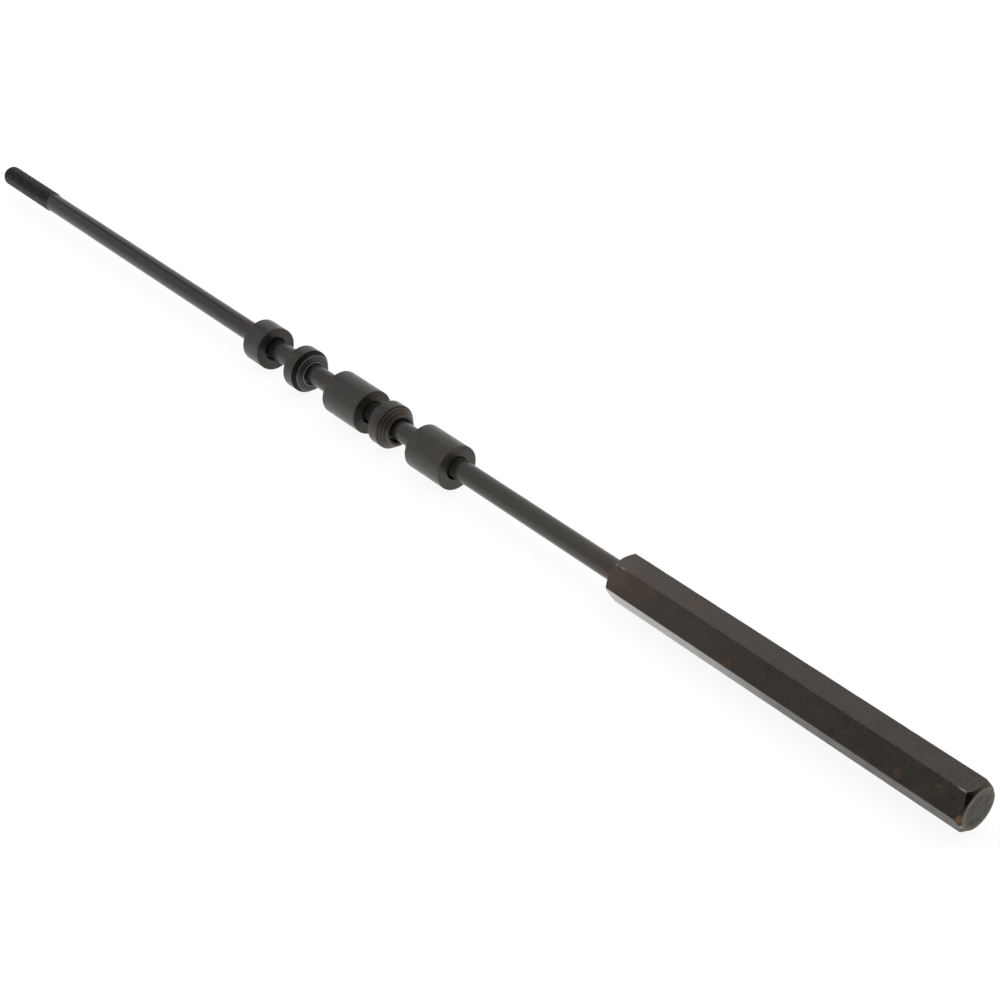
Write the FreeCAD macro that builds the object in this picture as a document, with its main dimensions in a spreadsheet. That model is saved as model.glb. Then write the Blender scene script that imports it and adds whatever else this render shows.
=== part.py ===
"""Long punch: a hexagon bar handle, a slim rod threaded at its far end, and five loose sleeves on the rod.

The tool lies along +X with its thread towards -X, its struck end towards +X and a flat of the hexagon
facing up. The origin is at the middle of the underside of its bounding box. Sizes are in millimetres.
"""
import FreeCAD, Part
import os
import Sketcher

# Driving sizes: name, value, what it is. They fill the spreadsheet, and everything else reads them there.
SIZES = [
    ("overall_length", 516.6, "tip of the thread to the struck end"),
    ("handle_length", 135.55, "hexagon bar, face to face"),
    ("across_flats", 14.0, "hexagon bar"),
    ("front_face_inset", 1.05, "flat to the rim of the front face, radially"),
    ("front_turn_length", 1.6, "front turning, face to the hexagon's corners"),
    ("struck_face_inset", 0.6, "flat to the rim of the struck face, radially"),
    ("struck_turn_length", 1.95, "rear turning, face to the hexagon's corners"),
    ("socket_depth", 26.0, "blind socket in the handle's front face"),
    ("socket_clearance", 0.02, "rod to socket wall, radially"),
    ("socket_lead", 0.3, "chamfer at the socket's mouth"),
    ("drill_point", 2.1, "depth of the cone that the drill left past the socket's floor"),
    ("drill_floor", 0.6, "width of the flat shoulder that the rod's end stands on"),
    ("rod_diameter", 7.2, "plain part of the rod"),
    ("rod_end_chamfer", 0.4, "rod's end inside the socket"),
    ("thread_rise", 0.4, "thread's crest above the plain rod, radially"),
    ("thread_length", 36.35, "tip to the end of the full thread"),
    ("thread_runout", 0.6, "full thread to plain rod"),
    ("tip_turn_length", 1.4, "lead at the tip, along the rod"),
    ("tip_turn_depth", 0.8, "lead at the tip, radially"),
    ("sleeve_diameter", 16.0, "outside of every sleeve and collar"),
    ("thread_clearance", 0.1, "thread's crest to the sleeve's bore, radially"),
    ("hanging_clearance", 0.05, "top of the rod to the top of the bore it carries"),
    ("edge_break", 0.15, "broken outer edges of the plain sleeves"),
    ("far_mouth", 0.25, "chamfer at each bore's end towards the thread"),
    ("tip_sleeve_length", 9.3, "sleeve nearest the thread"),
    ("tip_sleeve_mouth", 0.45, "chamfer at its bore's end towards the handle"),
    ("thin_collar_land", 5.0, "thin collar's full-diameter part"),
    ("thin_collar_fall", 1.1, "drop of its cone, radially"),
    ("thin_collar_cone", 1.6, "length of its cone"),
    ("thin_collar_ease", 0.3, "drop of the turned edge in front of the cone"),
    ("thin_collar_step", 0.5, "length of that edge"),
    ("thin_collar_nose", 0.45, "rise of its coned face up to the rim round the bore"),
    ("rim_width", 0.5, "rim round its bore"),
    ("rim_height", 0.15, "rim above the face"),
    ("middle_sleeve_length", 18.3, "long sleeve in the middle"),
    ("middle_sleeve_mouth", 0.2, "chamfer at its bore's end towards the handle"),
    ("thick_collar_land", 4.5, "thick collar's full-diameter part"),
    ("thick_collar_cone", 2.95, "length of its cone"),
    ("thick_collar_mouth", 0.35, "chamfer at its bore's end towards the handle"),
    ("thick_collar_face", 1.3, "width of its face, from that chamfer out to the broken edge"),
    ("thick_collar_ease", 0.25, "broken edge of its face"),
    ("handle_sleeve_length", 18.0, "long sleeve nearest the handle"),
    ("handle_sleeve_mouth", 0.2, "chamfer at its bore's end towards the handle"),
    ("handle_sleeve_gap", 79.2, "handle's front face to the handle sleeve"),
    ("thick_collar_gap", 12.65, "handle sleeve to the thick collar"),
    ("middle_sleeve_gap", 7.95, "thick collar to the middle sleeve"),
    ("thin_collar_gap", 16.05, "middle sleeve to the thin collar"),
    ("tip_sleeve_gap", 16.05, "thin collar to the tip sleeve"),
    ("cutter_past", 1.0, "how far a turning cut runs past the hexagon's corners"),
]

ROD_RADIUS = "(Sizes.rod_diameter / 2)"
THREAD_RADIUS = "(Sizes.rod_diameter / 2 + Sizes.thread_rise)"
BORE_RADIUS = "(Sizes.rod_diameter / 2 + Sizes.thread_rise + Sizes.thread_clearance)"
SLEEVE_RADIUS = "(Sizes.sleeve_diameter / 2)"
FLAT_RADIUS = "(Sizes.across_flats / 2)"
CORNER_RADIUS = "(Sizes.across_flats / sqrt(3))"
HANDLE_FRONT = "(Sizes.overall_length - Sizes.handle_length)"

# How far a loose sleeve's axis hangs below the rod's, with its bore resting on the top of the rod.
HANG = "(Sizes.thread_rise + Sizes.thread_clearance - Sizes.hanging_clearance)"
AXIS_HEIGHT = f"max({SLEEVE_RADIUS} + {HANG}; {FLAT_RADIUS})"

# Where the two collars' turned steps lie, along each collar from its end towards the thread.
THIN_CONE_END = "(Sizes.thin_collar_land + Sizes.thin_collar_cone)"
THIN_FACE_START = f"({THIN_CONE_END} + Sizes.thin_collar_step)"
THIN_FACE_END = f"({THIN_FACE_START} + Sizes.thin_collar_nose)"
THIN_LENGTH = f"({THIN_FACE_END} + Sizes.rim_height)"
THICK_CONE_END = "(Sizes.thick_collar_land + Sizes.thick_collar_cone)"
THICK_LENGTH = f"({THICK_CONE_END} + Sizes.thick_collar_ease)"

# Sleeves in order from the handle to the tip: label, gap before it, length.
SLEEVE_ORDER = [
    ("handle_sleeve", "Sizes.handle_sleeve_gap", "Sizes.handle_sleeve_length"),
    ("thick_stepped_collar", "Sizes.thick_collar_gap", THICK_LENGTH),
    ("middle_sleeve", "Sizes.middle_sleeve_gap", "Sizes.middle_sleeve_length"),
    ("thin_stepped_collar", "Sizes.thin_collar_gap", THIN_LENGTH),
    ("tip_sleeve", "Sizes.tip_sleeve_gap", "Sizes.tip_sleeve_length"),
]

VOLUME_TOLERANCE = 1e-3


def make_sheet(doc):
    """Write the driving sizes into a spreadsheet, one alias a row."""
    sheet = doc.addObject("Spreadsheet::Sheet", "Sizes")
    for row, (name, value, note) in enumerate(SIZES, start=1):
        sheet.set(f"A{row}", name)
        sheet.set(f"B{row}", str(value))
        sheet.set(f"C{row}", note)
        sheet.setAlias(f"B{row}", name)
    doc.recompute()
    return sheet


def make_body(doc, label, along, height):
    """Start a sub-part whose own X axis is its turning axis; along and height are expressions."""
    body = doc.addObject("PartDesign::Body", label)
    body.Label = label
    body.setExpression("Placement.Base.x", f"{along} - Sizes.overall_length / 2")
    body.setExpression("Placement.Base.z", height)
    return body


def origin_plane(body, role):
    return next(item for item in body.Origin.OriginFeatures if item.Role == role)


def sketch_outline(body, name, role, corners):
    """Draw a closed straight-sided outline, each corner held by two expressions from the sketch's origin."""
    sketch = body.newObject("Sketcher::SketchObject", name)
    sketch.AttachmentSupport = (origin_plane(body, role), [""])
    sketch.MapMode = "FlatFace"
    count = len(corners)
    for index in range(count):
        start = FreeCAD.Vector(index, index * index + 1, 0)
        following = (index + 1) % count
        finish = FreeCAD.Vector(following, following * following + 1, 0)
        sketch.addGeometry(Part.LineSegment(start, finish), False)
    for index in range(count):
        sketch.addConstraint(Sketcher.Constraint("Coincident", index, 2, (index + 1) % count, 1))
    for index, (across, upward) in enumerate(corners):
        for kind, word, expression in (("DistanceX", "across", across), ("DistanceY", "upward", upward)):
            number = sketch.addConstraint(Sketcher.Constraint(kind, -1, 1, index, 1, 1.0))
            sketch.renameConstraint(number, f"{word}_{index}")
            sketch.setExpression(f"Constraints.{word}_{index}", expression)
    return sketch


def turn(body, name, kind, corners):
    """Revolve an outline of (along, radius) corners about the body's X axis: a Revolution or a Groove."""
    sketch = sketch_outline(body, f"{name}_outline", "XZ_Plane", corners)
    feature = body.newObject(f"PartDesign::{kind}", name)
    feature.Profile = sketch
    feature.ReferenceAxis = (sketch, ["H_Axis"])
    feature.Angle = 360.0
    return feature


def make_handle(doc):
    """Hexagon bar, turned at both ends and drilled from the front for the rod."""
    body = make_body(doc, "hex_handle", HANDLE_FRONT, AXIS_HEIGHT)
    half_side = f"({CORNER_RADIUS} / 2)"
    hexagon = [
        (CORNER_RADIUS, "0"),
        (half_side, FLAT_RADIUS),
        (f"-{half_side}", FLAT_RADIUS),
        (f"-{CORNER_RADIUS}", "0"),
        (f"-{half_side}", f"-{FLAT_RADIUS}"),
        (half_side, f"-{FLAT_RADIUS}"),
    ]
    outline = sketch_outline(body, "bar_outline", "YZ_Plane", hexagon)
    bar = body.newObject("PartDesign::Pad", "bar")
    bar.Profile = outline
    bar.setExpression("Length", "Sizes.handle_length")

    outer = f"({CORNER_RADIUS} + Sizes.cutter_past)"
    cuts = [("front_turning", "Sizes.front_face_inset", "Sizes.front_turn_length", "0", 1),
            ("struck_turning", "Sizes.struck_face_inset", "Sizes.struck_turn_length", "Sizes.handle_length", -1)]
    for name, inset, turn_length, face, sign in cuts:
        rim = f"({FLAT_RADIUS} - {inset})"
        reach = f"({turn_length} * ({outer} - {rim}) / ({CORNER_RADIUS} - {rim}))"
        past = f"{face} - {sign} * Sizes.cutter_past"
        turn(body, name, "Groove", [(face, rim), (f"{face} + {sign} * {reach}", outer), (past, outer), (past, rim)])

    wall = f"({ROD_RADIUS} + Sizes.socket_clearance)"
    point = f"({ROD_RADIUS} - Sizes.drill_floor)"
    turn(body, "socket", "Groove", [
        ("-Sizes.cutter_past", "0"),
        ("-Sizes.cutter_past", f"{wall} + Sizes.socket_lead"),
        ("0", f"{wall} + Sizes.socket_lead"),
        ("Sizes.socket_lead", wall),
        ("Sizes.socket_depth", wall),
        ("Sizes.socket_depth", point),
        ("Sizes.socket_depth + Sizes.drill_point", "0"),
    ])
    return body


def make_rod(doc):
    """Round rod from the tip to the socket's floor; its thread is a plain cylinder at the crests."""
    body = make_body(doc, "threaded_rod", "0", AXIS_HEIGHT)
    full_length = f"({HANDLE_FRONT} + Sizes.socket_depth)"
    turn(body, "rod", "Revolution", [
        ("0", "0"),
        ("0", f"{THREAD_RADIUS} - Sizes.tip_turn_depth"),
        ("Sizes.tip_turn_length", THREAD_RADIUS),
        ("Sizes.thread_length", THREAD_RADIUS),
        ("Sizes.thread_length + Sizes.thread_runout", ROD_RADIUS),
        (f"{full_length} - Sizes.rod_end_chamfer", ROD_RADIUS),
        (full_length, f"{ROD_RADIUS} - Sizes.rod_end_chamfer"),
        (full_length, "0"),
    ])
    return body


def bored_outline(length, mouth, outside):
    """Outline of a sleeve: its bore with a chamfer at each end, then the corners of its outside."""
    return [
        (f"{length} - {mouth}", BORE_RADIUS),
        ("Sizes.far_mouth", BORE_RADIUS),
        ("0", f"{BORE_RADIUS} + Sizes.far_mouth"),
        ("0", f"{SLEEVE_RADIUS} - Sizes.edge_break"),
        ("Sizes.edge_break", SLEEVE_RADIUS),
    ] + outside + [
        (length, f"{BORE_RADIUS} + {mouth}"),
    ]


def plain_outline(label):
    length = f"Sizes.{label}_length"
    return bored_outline(length, f"Sizes.{label}_mouth", [
        (f"{length} - Sizes.edge_break", SLEEVE_RADIUS),
        (length, f"{SLEEVE_RADIUS} - Sizes.edge_break"),
    ])


def thin_collar_outline():
    """Land, cone, turned edge, coned face and a narrow raised rim round the bore."""
    cone_radius = f"{SLEEVE_RADIUS} - Sizes.thin_collar_fall"
    rim_radius = f"{BORE_RADIUS} + Sizes.rim_width"
    return [
        (THIN_LENGTH, BORE_RADIUS),
        ("Sizes.far_mouth", BORE_RADIUS),
        ("0", f"{BORE_RADIUS} + Sizes.far_mouth"),
        ("0", f"{SLEEVE_RADIUS} - Sizes.edge_break"),
        ("Sizes.edge_break", SLEEVE_RADIUS),
        ("Sizes.thin_collar_land", SLEEVE_RADIUS),
        (THIN_CONE_END, cone_radius),
        (THIN_FACE_START, f"{cone_radius} - Sizes.thin_collar_ease"),
        (THIN_FACE_END, rim_radius),
        (THIN_LENGTH, rim_radius),
    ]


def thick_collar_outline():
    """Land, then a steep cone down to a narrow face round the bore."""
    face_radius = f"{BORE_RADIUS} + Sizes.thick_collar_mouth + Sizes.thick_collar_face"
    return bored_outline(THICK_LENGTH, "Sizes.thick_collar_mouth", [
        ("Sizes.thick_collar_land", SLEEVE_RADIUS),
        (THICK_CONE_END, f"{face_radius} + Sizes.thick_collar_ease"),
        (THICK_LENGTH, face_radius),
    ])


def make_sleeves(doc):
    """The five loose pieces, each placed from the one before it, starting at the handle's front face."""
    outlines = {
        "handle_sleeve": plain_outline("handle_sleeve"),
        "thick_stepped_collar": thick_collar_outline(),
        "middle_sleeve": plain_outline("middle_sleeve"),
        "thin_stepped_collar": thin_collar_outline(),
        "tip_sleeve": plain_outline("tip_sleeve"),
    }
    bodies = []
    place = HANDLE_FRONT
    for label, gap, length in SLEEVE_ORDER:
        place = f"({place} - {gap} - {length})"
        body = make_body(doc, label, place, f"{AXIS_HEIGHT} - {HANG}")
        turn(body, f"{label}_turning", "Revolution", outlines[label])
        bodies.append(body)
    return bodies


def check_document(doc, bodies):
    """Stop unless every object is sound, every cut removes metal and every piece is one valid solid."""
    for item in doc.Objects:
        for state in ("Invalid", "Error"):
            if state in item.State:
                raise RuntimeError(f"{item.Label} is in state {item.State}")
    for body in bodies:
        previous = None
        for feature in body.Group:
            if not feature.isDerivedFrom("PartDesign::Feature"):
                continue
            volume = feature.Shape.Volume
            if feature.TypeId == "PartDesign::Groove" and volume > previous - VOLUME_TOLERANCE:
                raise RuntimeError(f"{feature.Label} removed nothing")
            previous = volume
        if body.Shape.isNull() or not body.Shape.isValid() or len(body.Shape.Solids) != 1:
            raise RuntimeError(f"{body.Label} is not one valid solid")


def main():
    doc = FreeCAD.newDocument("long_punch")
    make_sheet(doc)
    bodies = [make_handle(doc), make_rod(doc)] + make_sleeves(doc)
    doc.recompute()
    check_document(doc, bodies)
    os.makedirs("parts", exist_ok=True)
    for body in bodies:
        body.Shape.exportStep(f"parts/{body.Label}.step")
        box = body.Shape.BoundBox
        print(f"{body.Label:22s} volume {body.Shape.Volume:10.2f}"
              f"  x {box.XMin:8.2f} {box.XMax:8.2f}"
              f"  y {box.YMin:6.2f} {box.YMax:6.2f}  z {box.ZMin:6.2f} {box.ZMax:6.2f}")


main()
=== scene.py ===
"""Looks of a long punch: a hexagon bar handle, a slim rod threaded at its far end and five loose sleeves.

Each operator makes one piece or one group of like pieces, and the last one makes the studio. Lengths are in
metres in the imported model's own frame: +X runs along the tool to its struck end and +Z is up.
"""

import math

import bmesh
import bpy
from bpy.props import FloatProperty, FloatVectorProperty, IntProperty, PointerProperty
from bpy.types import Operator, Panel, PropertyGroup
from mathutils import Matrix, Vector, noise


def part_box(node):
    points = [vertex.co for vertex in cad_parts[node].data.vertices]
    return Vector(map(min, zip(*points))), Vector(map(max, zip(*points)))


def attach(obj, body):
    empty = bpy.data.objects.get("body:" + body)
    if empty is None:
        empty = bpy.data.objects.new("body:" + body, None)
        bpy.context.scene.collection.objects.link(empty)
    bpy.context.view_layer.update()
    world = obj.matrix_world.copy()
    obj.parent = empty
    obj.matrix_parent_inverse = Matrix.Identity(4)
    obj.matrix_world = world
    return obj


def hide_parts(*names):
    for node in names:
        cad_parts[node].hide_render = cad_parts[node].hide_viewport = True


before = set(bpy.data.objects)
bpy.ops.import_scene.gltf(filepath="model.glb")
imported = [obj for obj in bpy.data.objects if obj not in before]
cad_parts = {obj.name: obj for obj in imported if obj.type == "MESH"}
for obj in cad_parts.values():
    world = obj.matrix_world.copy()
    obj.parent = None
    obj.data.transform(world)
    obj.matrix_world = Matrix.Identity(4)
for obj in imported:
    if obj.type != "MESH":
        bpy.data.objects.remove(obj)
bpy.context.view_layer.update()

bl_info = {
    "name": "Long Punch",
    "version": (1, 0, 0),
    "blender": (4, 5, 0),
    "location": "View3D > Sidebar > Punch",
    "description": "Models and finishes a long punch with sleeves round its packed frame",
    "category": "Object",
}

MM = 0.001
PER_MM = 1000.0
TURN_STEPS = 144
THREAD_STEPS = 72
COLLAR_SUPPORT = 0.22 * MM
BACKDROP_BRIGHTNESS = 1.4
GAP_DIRECTION = (-0.81, 0.10, 0.58)
EDGE_LAYER = "edge"
HOLLOW_LAYER = "hollow"


def length_setting(name, description, millimetres):
    return FloatProperty(name=name, description=description, default=millimetres * MM, unit="LENGTH",
                         precision=6)


def share_setting(name, description, default):
    return FloatProperty(name=name, description=description, default=default, min=0.0, max=1.0,
                         subtype="FACTOR")


def colour_setting(name, description, default):
    return FloatVectorProperty(name=name, description=description, default=default, min=0.0, max=1.0,
                               size=3, subtype="COLOR")


# ---------------------------------------------------------------------------------------------- settings

class HandleSettings(PropertyGroup):
    across_flats: length_setting("Across flats", "Hexagon bar, flat to flat", 14.0)
    corner_round: length_setting("Corner round", "Worn radius of the six long edges", 0.3)
    front_inset: length_setting("Front inset", "Flat to the rim of the front face", 1.05)
    front_turning: length_setting("Front turning", "Front face to the hexagon's corners", 1.6)
    struck_inset: length_setting("Struck inset", "Flat to the rim of the struck face", 0.6)
    struck_turning: length_setting("Struck turning", "Struck face to the hexagon's corners", 1.95)
    socket_radius: length_setting("Socket radius", "Blind socket that holds the rod", 3.62)
    socket_depth: length_setting("Socket depth", "Front face to the socket's floor", 26.0)
    socket_lead: length_setting("Socket lead", "Chamfer at the socket's mouth", 0.3)
    drill_point: length_setting("Drill point", "Cone past the socket's floor", 2.1)
    nick_depth: length_setting("Nick depth", "Deepest dent in the long edges", 0.03)
    flat_steps: IntProperty(name="Flat steps", description="Divisions across each flat", default=24, min=4)


class RodSettings(PropertyGroup):
    rod_diameter: length_setting("Rod diameter", "Plain part of the rod", 7.2)
    thread_diameter: length_setting("Thread diameter", "Crest diameter of the thread", 7.98)
    thread_pitch: length_setting("Thread pitch", "Distance from crest to crest", 1.25)
    thread_depth: length_setting("Thread depth", "Crest to root, radially", 0.72)
    thread_length: length_setting("Thread length", "Tip to the end of the full thread", 36.35)
    thread_runout: length_setting("Thread runout", "Full thread to plain rod", 0.6)
    tip_turn_length: length_setting("Tip turn length", "Lead at the tip, along the rod", 1.4)
    tip_turn_depth: length_setting("Tip turn depth", "Lead at the tip, radially", 0.8)
    end_chamfer: length_setting("End chamfer", "Rod's end inside the socket", 0.4)


class SleeveSettings(PropertyGroup):
    diameter: length_setting("Outside", "Outside of every sleeve and collar", 15.99)
    bore: length_setting("Bore", "Bore of every sleeve and collar", 8.2)
    edge_break: length_setting("Edge break", "Broken outer edges", 0.15)
    far_mouth: length_setting("Far mouth", "Bore's chamfer towards the thread", 0.25)
    tip_mouth: length_setting("Tip sleeve mouth", "Tip sleeve's bore chamfer", 0.45)
    plain_mouth: length_setting("Plain mouth", "Long sleeves' bore chamfer", 0.2)
    rounding: length_setting("Rounding", "Softening of each turned corner", 0.06)


class CollarSettings(PropertyGroup):
    thin_land: length_setting("Thin land", "Thin collar's full-diameter part", 5.0)
    thin_fall: length_setting("Thin fall", "Drop of the thin collar's cone", 1.1)
    thin_cone: length_setting("Thin cone", "Length of the thin collar's cone", 1.6)
    thin_ease: length_setting("Thin ease", "Drop of the turned edge before the cone", 0.3)
    thin_step: length_setting("Thin step", "Length of that edge", 0.5)
    thin_nose: length_setting("Thin nose", "Rise of the coned face", 0.45)
    rim_width: length_setting("Rim width", "Rim round the thin collar's bore", 0.5)
    rim_height: length_setting("Rim height", "Rim above the face", 0.15)
    thick_land: length_setting("Thick land", "Thick collar's full-diameter part", 4.5)
    thick_cone: length_setting("Thick cone", "Length of the thick collar's cone", 2.95)
    thick_mouth: length_setting("Thick mouth", "Thick collar's bore chamfer", 0.35)
    thick_face: length_setting("Thick face", "Width of the thick collar's face", 1.3)
    thick_ease: length_setting("Thick ease", "Broken edge of that face", 0.25)
    groove_depth: length_setting("Groove depth", "Depth of the tool's feed marks on the cones", 0.26)
    groove_count: IntProperty(name="Grooves", description="Feed marks on the thick collar's cone",
                              default=3, min=1)


class FinishSettings(PropertyGroup):
    oxide_dark: colour_setting("Dark oxide", "Deepest black of the oxide", (0.0030, 0.0025, 0.0020))
    oxide_light: colour_setting("Light oxide", "Rubbed oxide", (0.034, 0.028, 0.021))
    steel_dark: colour_setting("Dark steel", "Shaded satin steel", (0.0045, 0.0042, 0.0036))
    steel_light: colour_setting("Light steel", "Rubbed satin steel", (0.033, 0.031, 0.027))
    brown_stain: colour_setting("Brown stain", "Thin film of rust", (0.034, 0.018, 0.010))
    rust_dark: colour_setting("Dark rust", "Old rust", (0.035, 0.014, 0.006))
    rust_bright: colour_setting("Bright rust", "Fresh rust", (0.12, 0.050, 0.016))
    bare_metal: colour_setting("Bare metal", "Steel where the oxide is worn off", (0.52, 0.50, 0.47))


class StudioSettings(PropertyGroup):
    azimuth: FloatProperty(name="Azimuth", description="Camera's turn from -Y towards +X",
                           default=math.radians(50.41), subtype="ANGLE")
    elevation: FloatProperty(name="Elevation", description="Camera's height above the floor as an angle",
                             default=math.radians(33.81), subtype="ANGLE")
    roll: FloatProperty(name="Roll", description="Camera's turn about its own axis",
                        default=math.radians(-0.57), subtype="ANGLE")
    distance: length_setting("Distance", "Camera to the point it aims at", 637.5)
    lens: FloatProperty(name="Lens", description="Focal length in millimetres", default=71.46, min=1.0)
    aim_along: length_setting("Aim along", "Aimed point, along the tool", 65.4)
    aim_height: length_setting("Aim height", "Aimed point, above the floor", 6.6)
    floor_size: length_setting("Floor size", "Side of the floor", 60000.0)
    sky: FloatProperty(name="Sky", description="Brightness of the white room", default=1.0, min=0.0)
    shade: share_setting("Shade", "How dark the room is behind the camera", 0.92)
    softbox: FloatProperty(name="Softbox", description="Power of the overhead light in watts", default=2.0,
                           min=0.0)
    floor_glow: FloatProperty(name="Floor glow", description="Light that the white table gives off itself",
                              default=0.90, min=0.0)


# ------------------------------------------------------------------------------------------ mesh helpers

def smooth_step(low, high, value):
    share = min(max((value - low) / (high - low), 0.0), 1.0)
    return share * share * (3.0 - 2.0 * share)


def radial(point, axis_height):
    """A point's distance from the turning axis, and its angle from +Y towards +Z."""
    return math.hypot(point.y, point.z - axis_height), math.atan2(point.z - axis_height, point.y)


def place_radially(vert, along, radius, angle, axis_height):
    vert.co = (along, radius * math.cos(angle), axis_height + radius * math.sin(angle))


def round_corners(bm, amount, segments=2, least_turn=math.radians(8.0)):
    """Round the corners of a drawn outline that turn by more than least_turn."""
    corners = []
    for vert in bm.verts:
        before, after = (edge.other_vert(vert).co - vert.co for edge in vert.link_edges)
        if math.pi - before.angle(after) > least_turn:
            corners.append(vert)
    bmesh.ops.bevel(bm, geom=corners, offset=amount, affect="VERTICES", segments=segments, profile=0.5,
                    material=-1, clamp_overlap=True)


def add_support(bm, distance, longest):
    """Put a point near both ends of each long side of an outline, then divide what is left evenly."""
    for edge in [e for e in bm.edges if e.calc_length() > 3.0 * distance]:
        start = edge.verts[0]
        length = edge.calc_length()
        _part, near = bmesh.utils.edge_split(edge, start, distance / length)
        rest = next(e for e in near.link_edges if start not in e.verts)
        bmesh.utils.edge_split(rest, near, 1.0 - distance / (length - distance))
        rest = next(e for e in near.link_edges if start not in e.verts)
        cuts = int(rest.calc_length() / longest)
        if cuts:
            bmesh.ops.subdivide_edges(bm, edges=[rest], cuts=cuts)


def draw_outline(corners, axis_height):
    """Start a mesh from a closed outline of (along, radius) corners."""
    bm = bmesh.new()
    verts = [bm.verts.new((along, 0.0, axis_height + radius)) for along, radius in corners]
    for first, second in zip(verts, verts[1:] + verts[:1]):
        bm.edges.new((first, second))
    return bm


def turn_outline(corners, axis_height, rounding, support):
    """Spin an outline into a closed turned piece with softened corners."""
    bm = draw_outline(corners, axis_height)
    round_corners(bm, rounding)
    add_support(bm, support, 1.2 * MM)
    bmesh.ops.spin(bm, geom=bm.verts[:] + bm.edges[:], cent=(0.0, 0.0, axis_height), axis=(1.0, 0.0, 0.0),
                   angle=math.tau, steps=TURN_STEPS, use_merge=True)
    bmesh.ops.recalc_face_normals(bm, faces=bm.faces[:])
    return bm


def verts_of(geometry):
    return [item for item in geometry if isinstance(item, bmesh.types.BMVert)]


def whole(bm):
    return bm.verts[:] + bm.edges[:] + bm.faces[:]


def extrude_ring(bm, ring, place):
    """Extrude a ring of edges once, put each new vertex where place says, and return the new ring."""
    made = bmesh.ops.extrude_edge_only(bm, edges=ring)["geom"]
    verts = set(verts_of(made))
    for vert in verts:
        place(vert)
    return [item for item in made if isinstance(item, bmesh.types.BMEdge) and set(item.verts) <= verts]


def extrude_turned(bm, ring, stations, axis_height):
    """Carry a round ring through a list of (along, radius) stations."""
    for along, radius in stations:
        def place(vert, along=along, radius=radius):
            place_radially(vert, along, radius, radial(vert.co, axis_height)[1], axis_height)
        ring = extrude_ring(bm, ring, place)
    return ring


def close_ring(bm, ring):
    bmesh.ops.edgeloop_fill(bm, edges=ring)


def mark_edges(bm):
    """Store how sharp the metal is at each vertex: outward corners in one layer, inward ones in another."""
    edge_layer = bm.verts.layers.float.get(EDGE_LAYER) or bm.verts.layers.float.new(EDGE_LAYER)
    hollow_layer = bm.verts.layers.float.get(HOLLOW_LAYER) or bm.verts.layers.float.new(HOLLOW_LAYER)
    for vert in bm.verts:
        turns = [edge.calc_face_angle_signed(0.0) for edge in vert.link_edges]
        vert[edge_layer] = max(vert[edge_layer], smooth_step(math.radians(6), math.radians(16), max(turns)))
        vert[hollow_layer] = smooth_step(math.radians(6), math.radians(16), -min(turns))


def add_object(bm, name, materials):
    mesh = bpy.data.meshes.new(name)
    bm.to_mesh(mesh)
    bm.free()
    for material in materials:
        mesh.materials.append(material)
    made = bpy.data.objects.new(name, mesh)
    bpy.context.scene.collection.objects.link(made)
    return made


def finish_piece(bm, name, body, materials, replaced, sharp=math.radians(50.0)):
    """Turn a finished bmesh into a smooth-shaded piece that rides on a body and stands for a CAD node."""
    for face in bm.faces:
        face.smooth = True
    for edge in bm.edges:
        edge.smooth = edge.calc_face_angle(0.0) < sharp
    piece = add_object(bm, name, materials)
    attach(piece, body)
    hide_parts(replaced)


# ------------------------------------------------------------------------------------------ node helpers

def add_node(tree, kind, **settings):
    node = tree.nodes.new(kind)
    for name, value in settings.items():
        setattr(node, name, value)
    return node


def fill(tree, sockets, values):
    """Link each socket to a value that is an output, or set it to a plain value."""
    for socket, value in zip(sockets, values):
        if isinstance(value, bpy.types.NodeSocket):
            tree.links.new(value, socket)
        else:
            socket.default_value = value


def feed(tree, node, **inputs):
    """Fill a node's inputs by name; underscores stand for spaces."""
    fill(tree, [node.inputs[name.replace("_", " ")] for name in inputs], inputs.values())


def maths(tree, operation, *values):
    node = add_node(tree, "ShaderNodeMath", operation=operation)
    fill(tree, node.inputs, values)
    return node.outputs[0]


def vector_maths(tree, operation, *values):
    node = add_node(tree, "ShaderNodeVectorMath", operation=operation)
    fill(tree, node.inputs, values)
    return node.outputs["Value"] if operation in ("LENGTH", "DOT_PRODUCT") else node.outputs["Vector"]


def rgba(colour):
    """A plain colour with its alpha, or a colour output as it is."""
    return colour if isinstance(colour, bpy.types.NodeSocket) else (*colour, 1.0)


def mix_colours(tree, factor, first, second):
    node = add_node(tree, "ShaderNodeMix", data_type="RGBA")
    fill(tree, (node.inputs[0], node.inputs[6], node.inputs[7]), (factor, rgba(first), rgba(second)))
    return node.outputs[2]


def separate(tree, vector):
    node = add_node(tree, "ShaderNodeSeparateXYZ")
    tree.links.new(vector, node.inputs[0])
    return node.outputs


def ramp_range(tree, value, low, high, to_low=0.0, to_high=1.0, smooth=True):
    node = add_node(tree, "ShaderNodeMapRange", interpolation_type="SMOOTHSTEP" if smooth else "LINEAR")
    feed(tree, node, Value=value, From_Min=low, From_Max=high, To_Min=to_low, To_Max=to_high)
    return node.outputs["Result"]


def noise_texture(tree, vector, scale, detail=4.0, roughness=0.55, distortion=0.0):
    node = add_node(tree, "ShaderNodeTexNoise", noise_dimensions="3D")
    feed(tree, node, Vector=vector, Scale=scale, Detail=detail, Roughness=roughness, Distortion=distortion)
    return node.outputs["Fac"]


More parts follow.
